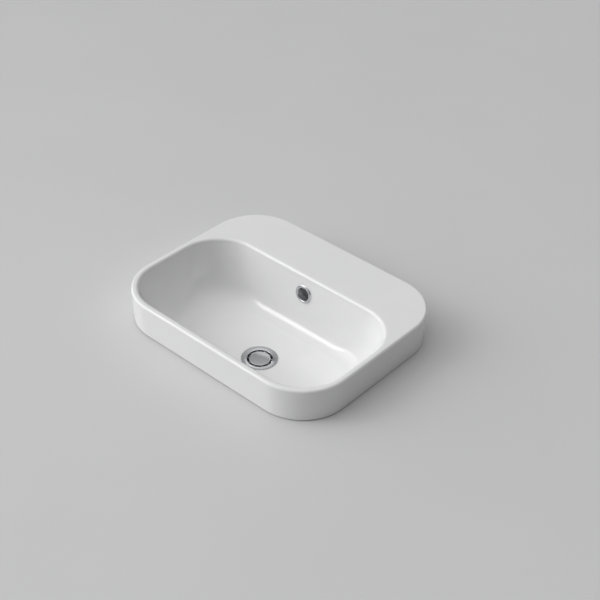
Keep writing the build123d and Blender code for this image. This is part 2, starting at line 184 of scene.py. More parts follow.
@dataclass(frozen=True)
class GlazedChina:
    """White glaze over vitreous china, bare where the foot was wiped before firing."""

    name: str = "glazed_china"
    glaze: Colour = (0.885, 0.885, 0.885)
    pooled_glaze: Colour = (0.868, 0.869, 0.871)
    bare_body: Colour = (0.74, 0.71, 0.66)
    gloss: float = 0.07
    bare_roughness: float = 0.8
    foot_top: float = 2.2 * MM
    foot_low: float = 0.8 * MM

    def material(self) -> bpy.types.Material:
        """Builds the glaze: slow ripple, fine orange peel and the wiped foot."""
        sheet = NodeSheet(self.name, self.glaze, self.gloss)
        sheet.shader.inputs["IOR"].default_value = 1.52
        geometry = sheet.add("ShaderNodeNewGeometry")
        facing = sheet.add("ShaderNodeSeparateXYZ")
        place = sheet.add("ShaderNodeSeparateXYZ")
        sheet.tree.links.new(geometry.outputs["Normal"], facing.inputs[0])
        sheet.tree.links.new(sheet.place, place.inputs[0])
        down = sheet.math("LESS_THAN", facing.outputs["Z"], -0.8)
        low = sheet.math("LESS_THAN", place.outputs["Z"], self.foot_top)
        high = sheet.math("GREATER_THAN", place.outputs["Z"], self.foot_low)
        foot = sheet.math("MULTIPLY", down, sheet.math("MULTIPLY", low, high))
        cloud = sheet.remap(sheet.noise(9.0, 3.0), 0.35, 0.65, 0.0, 1.0)
        glaze = sheet.tint(cloud, self.glaze, self.pooled_glaze)
        colour = sheet.add("ShaderNodeMix", data_type="RGBA")
        sheet.tree.links.new(foot, colour.inputs[0])
        sheet.tree.links.new(glaze, colour.inputs[6])
        colour.inputs[7].default_value = (*self.bare_body, 1.0)
        sheet.colour_from(colour.outputs[2])
        gloss = sheet.remap(sheet.noise(55.0, 3.0), 0.3, 0.7, self.gloss * 0.8, self.gloss * 1.25)
        sheet.roughness_from(sheet.math("MAXIMUM", gloss, sheet.math("MULTIPLY", foot, self.bare_roughness)))
        ripple = sheet.bump(sheet.noise(26.0, 1.0), 0.00007)
        peel = sheet.bump(sheet.noise(420.0, 1.0), 0.0000016, ripple)
        grit = sheet.math("MULTIPLY", sheet.noise(2600.0, 2.0), foot)
        sheet.normal_from(sheet.bump(grit, 0.00015, peel))
        return sheet.material


@dataclass(frozen=True)
class TurnedMetal:
    """Metal turned on a lathe, with rings round its own axis and then plated or left bare."""

    name: str
    colour: Colour
    worn_colour: Colour
    roughness: float
    axis_offset: tuple[float, float, float] = (0.0, 0.050, 0.0)
    rings_per_metre: float = 2400.0
    ring_depth: float = 0.0000035
    smear: float = 0.05

    def material(self) -> bpy.types.Material:
        """Builds the turning rings, a soft tarnish and an uneven polish."""
        sheet = NodeSheet(self.name, self.colour, self.roughness, 1.0)
        centred = sheet.shifted(self.axis_offset)
        rings = sheet.add("ShaderNodeTexWave", wave_type="RINGS", rings_direction="Z")
        sheet.feed(rings, Vector=centred, Scale=self.rings_per_metre / 6.28, Distortion=1.2,
                   Detail=2.0, Detail_Scale=0.6)
        smear = sheet.noise(70.0, 4.0)
        sheet.colour_from(sheet.tint(sheet.remap(smear, 0.35, 0.7, 0.0, 1.0), self.colour, self.worn_colour))
        low, high = self.roughness - self.smear, self.roughness + self.smear
        sheet.roughness_from(sheet.remap(smear, 0.3, 0.7, low, high))
        turned = sheet.bump(rings.outputs["Fac"], self.ring_depth)
        sheet.normal_from(sheet.bump(sheet.noise(300.0, 1.0), 0.000002, turned))
        return sheet.material


@dataclass(frozen=True)
class BrightPlate:
    """Polished chrome plate with faint wiping marks."""

    name: str
    colour: Colour = (0.72, 0.73, 0.75)
    worn_colour: Colour = (0.64, 0.65, 0.68)
    roughness: float = 0.08

    def material(self) -> bpy.types.Material:
        """Builds the plate, its wiping marks and a slow ripple from polishing."""
        sheet = NodeSheet(self.name, self.colour, self.roughness, 1.0)
        marks = sheet.noise(160.0, 4.0, sheet.shifted((0, 0, 0), (1.0, 1.0, 4.0)))
        sheet.colour_from(sheet.tint(sheet.remap(marks, 0.4, 0.75, 0.0, 1.0), self.colour, self.worn_colour))
        sheet.roughness_from(sheet.remap(marks, 0.35, 0.75, self.roughness, self.roughness * 1.7))
        sheet.normal_from(sheet.bump(sheet.noise(190.0, 1.0), 0.000006))
        return sheet.material


@dataclass(frozen=True)
class Moulding:
    """Moulded rubber, foam, nylon or cured silicone."""

    name: str
    colour: Colour
    second_colour: Colour
    roughness: float
    grain_per_metre: float
    grain_depth: float
    softness: float = 0.0

    def material(self) -> bpy.types.Material:
        """Builds the moulded grain and a slow variation of the colour."""
        sheet = NodeSheet(self.name, self.colour, self.roughness)
        sheet.shader.inputs["Subsurface Weight"].default_value = self.softness
        sheet.shader.inputs["Subsurface Scale"].default_value = 1.5 * MM
        grain = sheet.noise(self.grain_per_metre, 4.0)
        cloud = sheet.remap(sheet.noise(60.0, 3.0), 0.35, 0.65, 0.0, 1.0)
        sheet.colour_from(sheet.tint(cloud, self.colour, self.second_colour))
        sheet.roughness_from(sheet.remap(grain, 0.3, 0.7, self.roughness * 0.85, min(1.0, self.roughness * 1.15)))
        sheet.normal_from(sheet.bump(grain, self.grain_depth))
        return sheet.material


FINISHES: dict[Slot, object] = {
    Slot.CHINA: GlazedChina(),
    Slot.CHROME: BrightPlate("bright_chrome"),
    Slot.SATIN_CHROME: TurnedMetal("satin_chrome", (0.66, 0.66, 0.675), (0.62, 0.62, 0.635), 0.44),
    Slot.BRASS: TurnedMetal("turned_brass", (0.76, 0.58, 0.29), (0.55, 0.40, 0.20), 0.3, smear=0.09),
    Slot.SPRING_STEEL: TurnedMetal("spring_wire", (0.58, 0.57, 0.56), (0.42, 0.41, 0.40), 0.28),
    Slot.SILICONE: Moulding("silicone_seal", (0.30, 0.30, 0.31), (0.26, 0.26, 0.27), 0.42, 900.0, 0.00002, 0.1),
    Slot.BLACK_RUBBER: Moulding("black_rubber", (0.016, 0.016, 0.018), (0.024, 0.024, 0.025), 0.55, 3000.0, 0.00002),
    Slot.FOAM: Moulding("foam_washer", (0.06, 0.06, 0.065), (0.09, 0.09, 0.09), 0.9, 1700.0, 0.00016),
    Slot.WHITE_NYLON: Moulding("white_nylon", (0.78, 0.775, 0.75), (0.72, 0.71, 0.68), 0.36, 1200.0, 0.000012, 0.15),
    Slot.GREY_NYLON: Moulding("grey_nylon", (0.40, 0.41, 0.43), (0.34, 0.35, 0.37), 0.45, 1400.0, 0.000015),
}


# Shared ways of making a piece


def finished_mesh(name: str, shape: bmesh.types.BMesh) -> bpy.types.Object:
    """Turns a bmesh into an object at the origin, shaded smooth but for its sharp edges.

    Args:
        name: The object's name.
        shape: The bmesh in millimetres, which is freed.

    Returns:
        The object, in metres.
    """
    bmesh.ops.scale(shape, vec=(MM, MM, MM), verts=shape.verts)
    mesh = bpy.data.meshes.new(name)
    shape.to_mesh(mesh)
    shape.free()
    mesh.shade_smooth()
    mesh.set_sharp_from_angle(angle=SHARP_ANGLE)
    piece = bpy.data.objects.new(name, mesh)
    bpy.context.scene.collection.objects.link(piece)
    return piece


def carve(piece: bpy.types.Object, steps: Iterable[tuple[str, bpy.types.Object]]) -> bpy.types.Object:
    """Unites or cuts a piece with others and keeps the result as its mesh.

    Args:
        piece: The piece that is kept.
        steps: Pairs of UNION, DIFFERENCE or INTERSECT and the other object, which is removed.

    Returns:
        The piece with its new mesh.
    """
    others = []
    for operation, other in steps:
        cut = piece.modifiers.new(operation.lower(), "BOOLEAN")
        cut.operation = operation
        cut.object = other
        cut.solver = "EXACT"
        others.append(other)
    scene_graph = bpy.context.evaluated_depsgraph_get()
    mesh = bpy.data.meshes.new_from_object(piece.evaluated_get(scene_graph))
    mesh.name = piece.name
    clean = bmesh.new()
    clean.from_mesh(mesh)
    bmesh.ops.remove_doubles(clean, verts=clean.verts, dist=SLIVER)
    bmesh.ops.dissolve_degenerate(clean, edges=clean.edges, dist=SLIVER)
    clean.to_mesh(mesh)
    clean.free()
    piece.modifiers.clear()
    old, piece.data = piece.data, mesh
    bpy.data.meshes.remove(old)
    for other in others:
        bpy.data.meshes.remove(other.data)
    mesh.shade_smooth()
    mesh.set_sharp_from_angle(angle=SHARP_ANGLE)
    return piece


def dress(piece: bpy.types.Object, slot: Slot, body: Body, *nodes: str) -> bpy.types.Object:
    """Gives a piece its finish and its body, and hides the nodes that it stands for."""
    finish = FINISHES[slot]
    material = bpy.data.materials.get(finish.name) or finish.material()
    piece.data.materials.clear()
    piece.data.materials.append(material)
    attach(piece, body.value)
    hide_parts(*nodes)
    LOG.info("%s: %d faces, %s, stands for %s", piece.name, len(piece.data.polygons), slot.value, ", ".join(nodes))
    return piece


def turned(corners: Sequence[Corner], steps: int = 96, smooth: int = 3) -> bmesh.types.BMesh:
    """Spins a closed profile round the Z axis.

    Args:
        corners: The profile's corners, with what is rounded off each.
        steps: Steps of a full turn.
        smooth: Segments of each rounded corner.

    Returns:
        A closed bmesh.
    """
    shape = bmesh.new()
    points = [shape.verts.new((radius, 0.0, height)) for radius, height, _ in corners]
    shape.faces.new(points)
    for size in sorted({size for _, _, size in corners if size > 0}):
        chosen = [point for point, corner in zip(points, corners) if corner[2] == size]
        bmesh.ops.bevel(shape, geom=chosen, offset=size, offset_type="OFFSET", segments=smooth,
                        profile=0.5, affect="VERTICES", material=-1)
    bmesh.ops.delete(shape, geom=list(shape.faces), context="FACES_ONLY")
    axis_edges = [edge for edge in shape.edges if all(abs(vert.co.x) < 1e-9 for vert in edge.verts)]
    bmesh.ops.delete(shape, geom=axis_edges, context="EDGES")
    bmesh.ops.spin(shape, geom=list(shape.verts) + list(shape.edges), cent=(0, 0, 0), axis=(0, 0, 1),
                   angle=math.tau, steps=steps, use_merge=True)
    bmesh.ops.remove_doubles(shape, verts=shape.verts, dist=1e-4)
    bmesh.ops.recalc_face_normals(shape, faces=shape.faces)
    return shape


def threaded_sleeve(major: float, depth: float, bore: float, top: float, bottom: float, pitch: float = 2.309, steps: int = 64) -> bmesh.types.BMesh:
    """A closed tube whose outside is a helical pipe thread round the Z axis.

    Args:
        major: Radius at the crests.
        depth: Height of the thread.
        bore: Inside radius, within the wall that the thread is cut on.
        top: Upper end.
        bottom: Lower end.
        pitch: Rise of one turn.
        steps: Steps of one turn.

    Returns:
        A closed bmesh.
    """
    shape = bmesh.new()
    crest, root = pitch * 0.12, pitch * 0.38
    start = bottom - 1.5 * pitch
    line = [(major - depth, 0.0), (major, root), (major, root + 2 * crest), (major - depth, pitch)]
    points = [shape.verts.new((radius, 0.0, start + height)) for radius, height in line]
    for first, second in zip(points, points[1:]):
        shape.edges.new((first, second))
    turns = math.ceil((top - start) / pitch) + 1
    bmesh.ops.spin(shape, geom=list(shape.verts) + list(shape.edges), cent=(0, 0, 0), axis=(0, 0, 1),
                   dvec=(0, 0, pitch / steps), angle=math.tau * turns, steps=steps * turns)
    bmesh.ops.remove_doubles(shape, verts=shape.verts, dist=1e-3)
    for height, outward in ((top, 1.0), (bottom, -1.0)):
        bmesh.ops.bisect_plane(shape, geom=list(shape.verts) + list(shape.edges) + list(shape.faces),
                               plane_co=(0, 0, height), plane_no=(0, 0, outward), clear_outer=True)
    rims = []
    for height in (top, bottom):
        rim = [edge for edge in shape.edges if edge.is_boundary
               and all(abs(vert.co.z - height) < 1e-4 for vert in edge.verts)]
        inner = bmesh.ops.extrude_edge_only(shape, edges=rim)["geom"]
        for vert in (item for item in inner if isinstance(item, bmesh.types.BMVert)):
            vert.co.xy = vert.co.xy.normalized() * bore
        rims += [item for item in inner if isinstance(item, bmesh.types.BMEdge)]
    bmesh.ops.bridge_loops(shape, edges=rims)
    bmesh.ops.recalc_face_normals(shape, faces=shape.faces)
    return shape


def hexagon(across_flats: float, top: float, bottom: float, corner_cut: float) -> bmesh.types.BMesh:
    """A hexagonal bar round the Z axis with its corners turned down at both ends."""
    radius = across_flats / 2 / math.cos(math.pi / 6)
    inside = across_flats / 2 - 0.3
    bar = bmesh.new()
    bmesh.ops.create_cone(bar, cap_ends=True, segments=6, radius1=radius, radius2=radius,
                          depth=top - bottom, matrix=Matrix.Translation((0, 0, (top + bottom) / 2)))
    turn = Matrix.Rotation(math.pi / 6, 4, "Z")
    bmesh.ops.transform(bar, matrix=turn, verts=bar.verts)
    bevels = turned([(0, top, 0), (inside, top, 0), (radius + 0.5, top - corner_cut, 0),
                     (radius + 0.5, bottom + corner_cut, 0), (inside, bottom, 0), (0, bottom, 0)])
    blank = carve(finished_mesh("hexagon", bar), [("INTERSECT", finished_mesh("turned_corners", bevels))])
    shape = bmesh.new()
    shape.from_mesh(blank.data)
    bmesh.ops.scale(shape, vec=(1 / MM, 1 / MM, 1 / MM), verts=shape.verts)
    bpy.data.meshes.remove(blank.data)
    return shape


def placed(shape: bmesh.types.BMesh, where: Matrix) -> bmesh.types.BMesh:
    """Moves a bmesh by a matrix in millimetres."""
    bmesh.ops.transform(shape, matrix=where, verts=shape.verts)
    return shape


class RingStack:
    """A skin grown ring by ring: each ring is extruded from the last and moved to its outline."""

    def __init__(self, outline: Sequence[Vector]) -> None:
        """Starts from a closed ring whose face fills the first end."""
        self.shape = bmesh.new()
        made = bmesh.ops.create_circle(self.shape, cap_ends=True, segments=len(outline), radius=1.0)
        self.ring: list[bmesh.types.BMVert] = list(made["verts"])
        self.move(outline)

    def move(self, outline: Sequence[Vector]) -> None:
        """Puts the last ring on an outline."""
        for vert, point in zip(self.ring, outline):
            vert.co = point

    def grow(self, outline: Sequence[Vector]) -> None:
        """Extrudes the last ring and puts the new one on an outline."""
        around = zip(self.ring, self.ring[1:] + self.ring[:1])
        edges = [self.shape.edges.get((first, second)) for first, second in around]
        made = bmesh.ops.extrude_edge_only(self.shape, edges=edges)["geom"]
        fresh = {item for item in made if isinstance(item, bmesh.types.BMVert)}
        self.ring = [
            next(edge.other_vert(vert) for edge in vert.link_edges if edge.other_vert(vert) in fresh)
            for vert in self.ring
        ]
        self.move(outline)

    def close(self) -> bmesh.types.BMesh:
        """Fills the last ring and turns every face outwards."""
        bmesh.ops.contextual_create(self.shape, geom=[
            self.shape.edges.get((first, second))
            for first, second in zip(self.ring, self.ring[1:] + self.ring[:1])
        ])
        bmesh.ops.recalc_face_normals(self.shape, faces=self.shape.faces)
        return self.shape


# The china


@dataclass(frozen=True)
class RoundedOutline:
    """A rectangle with round corners at one height, in millimetres."""

    half_width: float
    half_depth: float
    radius: float
    middle: float
    height: float
    arc_steps: int = 26
    width_steps: int = 30
    depth_steps: int = 10

    def points(self) -> list[Vector]:
        """Points round the outline from the rear right corner, the same number on every ring."""
        found: list[Vector] = []
        corner_x, corner_y = self.half_width - self.radius, self.half_depth - self.radius
        signs = ((1, 1), (-1, 1), (-1, -1), (1, -1))
        for index, (side_x, side_y) in enumerate(signs):
            centre = Vector((side_x * corner_x, self.middle + side_y * corner_y, self.height))
            for step in range(self.arc_steps + 1):
                angle = math.pi / 2 * (index + step / self.arc_steps)
                found.append(centre + self.radius * Vector((math.cos(angle), math.sin(angle), 0)))
            next_x, next_y = signs[(index + 1) % 4]
            angle = math.pi / 2 * (index + 1)
            target = Vector((next_x * corner_x, self.middle + next_y * corner_y, self.height))
            target += self.radius * Vector((math.cos(angle), math.sin(angle), 0))
            steps = self.width_steps if index % 2 == 0 else self.depth_steps
            last = found[-1].copy()
            found += [last.lerp(target, step / steps) for step in range(1, steps)]
        return found


@dataclass(frozen=True)
class BowlForm:
    """The bowl's shape as a function of depth below the rim, in millimetres."""

    rim_height: float = 70.0
    mouth_half_width: float = 236.0
    mouth_half_depth: float = 132.5
    mouth_middle: float = -53.5
    mouth_radius: float = 86.0
    end_draft: float = math.radians(9.0)
    end_foot: float = 66.0
    long_draft: float = math.radians(8.5)
    long_foot: float = 34.0
    foot_depth: float = 119.0
    floor_share: float = 0.95
    opening: float = 1.6

    def inset(self, below: float, draft: float, foot: float, shell: float) -> float:
        """How far a wall has come in from the mouth at a depth."""
        centre = self.foot_depth - foot
        tangent = centre + foot * math.sin(draft)
        centre_inset = tangent * math.tan(draft) + foot * math.cos(draft)
        radius = foot + shell
        turn = centre + radius * math.sin(draft)
        if below <= turn:
            return centre_inset - radius * math.cos(draft) - (turn - below) * math.tan(draft)
        return centre_inset - math.sqrt(radius**2 - min(below - centre, radius) ** 2)

    def outline(self, below: float, shell: float = 0.0) -> RoundedOutline:
        """The bowl's outline at a depth, inside it or on its outer skin."""
        half_width = self.mouth_half_width - self.inset(below, self.end_draft, self.end_foot, shell)
        half_depth = self.mouth_half_depth - self.inset(below, self.long_draft, self.long_foot, shell)
        share = self.mouth_radius / self.mouth_half_depth
        share += (self.floor_share - share) * (below / (self.foot_depth + shell)) ** self.opening
        return RoundedOutline(half_width, half_depth, share * half_depth, self.mouth_middle,
                              self.rim_height - below)

    def lip(self, turn: float, radius: float) -> RoundedOutline:
        """The rolled lip at an angle from the deck, where it starts level, to the wall."""
        out_x = radius * math.tan((math.pi / 2 - self.end_draft) / 2) - radius * math.sin(turn)
        out_y = radius * math.tan((math.pi / 2 - self.long_draft) / 2) - radius * math.sin(turn)
        below = radius * (1 - math.cos(turn))
        wall = self.outline(below)
        wall_inset = self.inset(below, self.long_draft, self.long_foot, 0.0)
        return RoundedOutline(self.mouth_half_width + out_x, self.mouth_half_depth + out_y,
                              wall.radius + out_y + wall_inset, self.mouth_middle, self.rim_height - below)

    def wall_y(self, height: float) -> float:
        """Where the rear wall stands at a height."""
        rear = self.mouth_middle + self.mouth_half_depth
        return rear - (self.rim_height - height) * math.tan(self.long_draft)


@dataclass
class Basin:
    """The china body: raised rim and deck, bowl, boss, overflow channel and hollow deck."""

    bowl: BowlForm = field(default_factory=BowlForm)
    half_width: float = 250.0
    half_depth: float = 200.0
    corner_radius: float = 100.0
    rim_draft: float = math.radians(2.3)
    edge_round: float = 5.0
    base_round: float = 1.2
    base_height: float = 1.5
    lip_round: float = 6.5
    china: float = 11.0
    deck: float = 12.0
    apron: float = 12.0
    hollow_front: float = 25.0
    waste_y: float = -50.0
    floor_height: float = -55.0
    landing: float = 37.6
    recess: float = 35.4
    recess_round: float = 1.6
    recess_depth: float = 3.5
    boss_radius: float = 42.0
    boss_bottom: float = -95.0
    boss_round: float = 3.0
    boss_fillet: float = 8.0
    last_ring: float = math.radians(86.0)
    overflow_height: float = 30.5
    overflow_radius: float = 16.0
    channel_width: float = 36.0
    channel_gap: float = 13.0
    channel_shell: float = 8.0
    channel_rise: float = 18.5
    channel_bend: float = 46.0
    channel_fall: float = math.radians(7.0)
    outlet_height: float = -77.5
    bore_radius: float = 27.8
    bore_shoulder: float = -66.2
    hole_radius: float = 22.75

    def foot_depths(self, shell: float, rings: int) -> list[float]:
        """Depths of the rings round the foot, closer as the wall turns level."""
        first, last = self.bowl.end_draft, self.last_ring
        centre = self.bowl.foot_depth - self.bowl.end_foot
        reach = self.bowl.end_foot + shell
        return [centre + reach * math.sin(first + (last - first) * ring / (rings - 1)) for ring in range(rings)]

    def rim(self, height: float, inset: float = 0.0) -> RoundedOutline:
        """The rim's drafted outside at a height, moved in by an inset."""
        drawn_in = (self.bowl.rim_height - height) * math.tan(self.rim_draft) + inset
        return RoundedOutline(self.half_width - drawn_in, self.half_depth - drawn_in,
                              self.corner_radius - drawn_in, 0.0, height)

    def circle(self, radius: float, height: float) -> list[Vector]:
        """A round ring about the waste with its points lined up with the bowl's rings."""
        guide = self.bowl.outline(self.foot_depths(0.0, 2)[-1]).points()
        count = len(guide)
        centre = Vector((0.0, self.waste_y))
        angles = [math.atan2(point.y - centre.y, point.x) % math.tau for point in guide]
        first = angles[0]
        ring = []
        for index, angle in enumerate(angles):
            polar = (angle - first) % math.tau
            even = math.tau * index / count
            turn = first + 0.35 * polar + 0.65 * even
            ring.append(Vector((radius * math.cos(turn), centre.y + radius * math.sin(turn), height)))
        return ring

    def floor_rings(self, rings: int) -> list[list[Vector]]:
        """Rings from the landing round the waste out to the foot, falling smoothly to the waste."""
        depths = self.foot_depths(0.0, 30)
        foot = self.bowl.outline(depths[-1]).points()
        above = self.bowl.outline(depths[-2]).points()
        landing = self.circle(self.landing, self.floor_height)
        found = []
        for ring in range(1, rings):
            share = 1 - ring / rings
            points = []
            for edge, before, inner in zip(foot, above, landing):
                run = (edge - inner).xy.length
                drop = edge.z - inner.z
                slope = 0.85 * (before.z - edge.z) / max((before - edge).xy.length, 1e-6)
                start = min(slope * run, 2.4 * drop)
                end = min(max(2 * drop - start, 0.35 * drop), 1.6 * drop)
                cube, square = share**3, share**2
                height = (2 * cube - 3 * square + 1) * edge.z + (3 * square - 2 * cube) * inner.z
                height -= (cube - 2 * square + share) * start + (cube - square) * end
                point = edge.lerp(inner, share)
                points.append(Vector((point.x, point.y, height)))
            found.append(points)
        return found

    def skin(self) -> bmesh.types.BMesh:
        """The china's closed skin, still without its channel, hollow and holes."""
        recess_floor = self.floor_height - self.recess_depth
        stack = RingStack(self.circle(self.recess * 0.5, recess_floor))
        for radius, height in ((self.recess - 0.3, recess_floor), (self.recess, recess_floor + 0.3)):
            stack.grow(self.circle(radius, height))
        for step in range(6):
            turn = math.pi / 2 * step / 5
            stack.grow(self.circle(self.recess + self.recess_round * (1 - math.cos(turn)),
                                   self.floor_height - self.recess_round * (1 - math.sin(turn))))
        for ring in self.floor_rings(16):
            stack.grow(ring)
        for below in reversed(self.foot_depths(0.0, 30)):
            stack.grow(self.bowl.outline(below).points())
        lip_end = math.pi / 2 - self.bowl.long_draft
        lip_depth = self.lip_round * (1 - math.cos(lip_end))
        wall_start = self.foot_depths(0.0, 2)[0]
        for step in range(1, 9):
            below = wall_start + (lip_depth + 0.5 - wall_start) * step / 8
            stack.grow(self.bowl.outline(below).points())
        for step in range(13):
            stack.grow(self.bowl.lip(lip_end * (1 - step / 12), self.lip_round).points())
        level = self.bowl.rim_height
        lip_edge = self.bowl.lip(0.0, self.lip_round).points()
        deck_edge = self.rim(level, self.edge_round * math.tan((math.pi / 2 + self.rim_draft) / 2)).points()
        for share in (0.006, 0.05, 0.2, 0.4, 0.6, 0.8, 0.95, 0.994):
            stack.grow([inner.lerp(outer, share) for inner, outer in zip(lip_edge, deck_edge)])
        centre_in = self.edge_round * math.tan((math.pi / 2 + self.rim_draft) / 2)
        turn_end = math.pi / 2 + self.rim_draft
        for step in range(11):
            turn = turn_end * step / 10
            height = level - self.edge_round * (1 - math.cos(turn))
            inset = centre_in - self.edge_round * math.sin(turn)
            ring = RoundedOutline(self.half_width - inset, self.half_depth - inset,
                                  self.corner_radius - inset, 0.0, height)
            stack.grow(ring.points())
        top, bottom = level - self.edge_round - 0.8, self.base_height + self.base_round
        for share in (0.0, 0.15, 0.4, 0.7, 0.97, 1.0):
            stack.grow(self.rim(top + (bottom - top) * share).points())
        for step in range(1, 5):
            turn = math.pi / 2 * step / 4
            height = bottom - self.base_round * math.sin(turn)
            stack.grow(self.rim(height, self.base_round * (1 - math.cos(turn))).points())
        outer_seat = self.rim(self.base_height, self.base_round + 0.2).points()
        inner_seat = self.bowl.outline(level - self.base_height, self.china).points()
        for share in (0.0, 0.5, 1.0):
            stack.grow([outer.lerp(inner, share) for outer, inner in zip(outer_seat, inner_seat)])
        outer_depths = self.foot_depths(self.china, 24)
        for below in [below for below in outer_depths if below > level - self.base_height + 1]:
            stack.grow(self.bowl.outline(below, self.china).points())
        under = self.bowl.rim_height - outer_depths[-1]
        foot = self.bowl.outline(outer_depths[-1], self.china).points()
        boss = self.circle(self.boss_radius + self.boss_fillet, under)
        for share in (0.25, 0.5, 0.75, 1.0):
            stack.grow([outer.lerp(inner, share) for outer, inner in zip(foot, boss)])
        for step in range(1, 6):
            turn = math.pi / 2 * step / 5
            stack.grow(self.circle(self.boss_radius + self.boss_fillet * (1 - math.sin(turn)),
                                   under - self.boss_fillet * (1 - math.cos(turn))))
        for step in range(6):
            turn = math.pi / 2 * step / 5
            stack.grow(self.circle(self.boss_radius - self.boss_round * (1 - math.cos(turn)),
                                   self.boss_bottom + self.boss_round * (1 - math.sin(turn))))
        stack.grow(self.circle(self.boss_radius - self.boss_round - 0.5, self.boss_bottom))
        return stack.close()

    def channel(self, rise: float, thickness: float, width: float, rounding: float) -> bmesh.types.BMesh:
        """A bar along the overflow's way, down the rear wall and then to the waste."""
        slope = math.tan(self.bowl.long_draft)
        fall = math.tan(self.channel_fall)
        offset = self.china / math.cos(self.bowl.long_draft) + self.channel_gap / 2
        start = self.bowl.wall_y(0) + offset
        corner_z = (self.outlet_height + fall * (start - self.waste_y)) / (1 - fall * slope)
        top = self.overflow_height + rise
        first = Vector((0, self.bowl.wall_y(top) + offset, top))
        corner = Vector((0, start + slope * corner_z, corner_z))
        last = Vector((0, self.waste_y, self.outlet_height))
        down, along = (corner - first).normalized(), (last - corner).normalized()
        turn = down.angle(along)
        tangent = self.channel_bend * math.tan(turn / 2)
        bend_start = corner - down * tangent
        across = Vector((0, down.z, -down.y))
        inward = across if across.dot(along) > 0 else -across
        centre = bend_start + inward * self.channel_bend
        shape = bmesh.new()
        ends = [shape.verts.new(first + inward * thickness / 2 * side) for side in (1, -1)]
        edge = shape.edges.new(ends)
        sweep = self.slide(shape, [edge], bend_start - first)
        sweep = bmesh.ops.spin(shape, geom=sweep + list({vert for item in sweep for vert in item.verts}),
                               cent=centre, axis=down.cross(along), angle=turn, steps=14)["geom_last"]
        edges = [item for item in sweep if isinstance(item, bmesh.types.BMEdge)]
        self.slide(shape, edges, last - (corner + along * tangent))
        bmesh.ops.remove_doubles(shape, verts=shape.verts, dist=1e-4)
        bmesh.ops.translate(shape, vec=(-width / 2, 0, 0), verts=shape.verts)
        faces = bmesh.ops.extrude_face_region(shape, geom=list(shape.faces))["geom"]
        side = [item for item in faces if isinstance(item, bmesh.types.BMVert)]
        bmesh.ops.translate(shape, vec=(width, 0, 0), verts=side)
        bmesh.ops.recalc_face_normals(shape, faces=shape.faces)
        sharp = [edge for edge in shape.edges if edge.calc_face_angle(0.0) > math.radians(60)]
        bmesh.ops.bevel(shape, geom=sharp, offset=rounding, offset_type="OFFSET", segments=4,
                        profile=0.5, affect="EDGES", material=-1)
        return shape

    @staticmethod
    def slide(shape: bmesh.types.BMesh, edges: list[bmesh.types.BMEdge], by: Vector) -> list[bmesh.types.BMEdge]:
        """Extrudes edges, moves the new ones and returns them."""
        made = bmesh.ops.extrude_edge_only(shape, edges=edges)["geom"]
        bmesh.ops.translate(shape, vec=by, verts=[item for item in made if isinstance(item, bmesh.types.BMVert)])
        return [item for item in made if isinstance(item, bmesh.types.BMEdge)]

    def hollow(self) -> bpy.types.Object:
        """The room under the deck: the rim's inside behind the bowl's outer skin."""
        top = self.bowl.rim_height - self.deck
        wall = self.rim(0.0, self.apron)
        rings = []
        for height, inset in ((-12.0, 0.0), (top - 4.0, 0.0), (top - 1.2, 1.2), (top, 4.0)):
            rings.append(RoundedOutline(wall.half_width - inset, wall.half_depth - inset,
                                        wall.radius - inset, 0.0, height).points())
        stack = RingStack(rings[0])
        for ring in rings[1:]:
            stack.grow(ring)
        room = stack.close()
        cut = bmesh.ops.bisect_plane(room, geom=list(room.verts) + list(room.edges) + list(room.faces),
                                     plane_co=(0, self.hollow_front, 0), plane_no=(0, -1, 0), clear_outer=True)
        rim = [item for item in cut["geom_cut"] if isinstance(item, bmesh.types.BMEdge)]
        bmesh.ops.contextual_create(room, geom=rim)
        bmesh.ops.recalc_face_normals(room, faces=room.faces)
        shell = self.china + 0.3
        depths = [4.0, *self.foot_depths(shell, 20)]
        stack = RingStack(self.bowl.outline(depths[0], shell).points())
        for below in depths[1:]:
            stack.grow(self.bowl.outline(below, shell).points())
        bowl_outside = finished_mesh("bowl_outside", stack.close())
        return carve(finished_mesh("deck_room", room), [("DIFFERENCE", bowl_outside)])

    def overflow_frame(self) -> Matrix:
        """The matrix whose Z axis comes square out of the rear wall at the overflow."""
        tilt = Matrix.Rotation(math.pi / 2 - self.bowl.long_draft, 4, "X")
        place = (0, self.bowl.wall_y(self.overflow_height), self.overflow_height)
        return Matrix.Translation(place) @ tilt

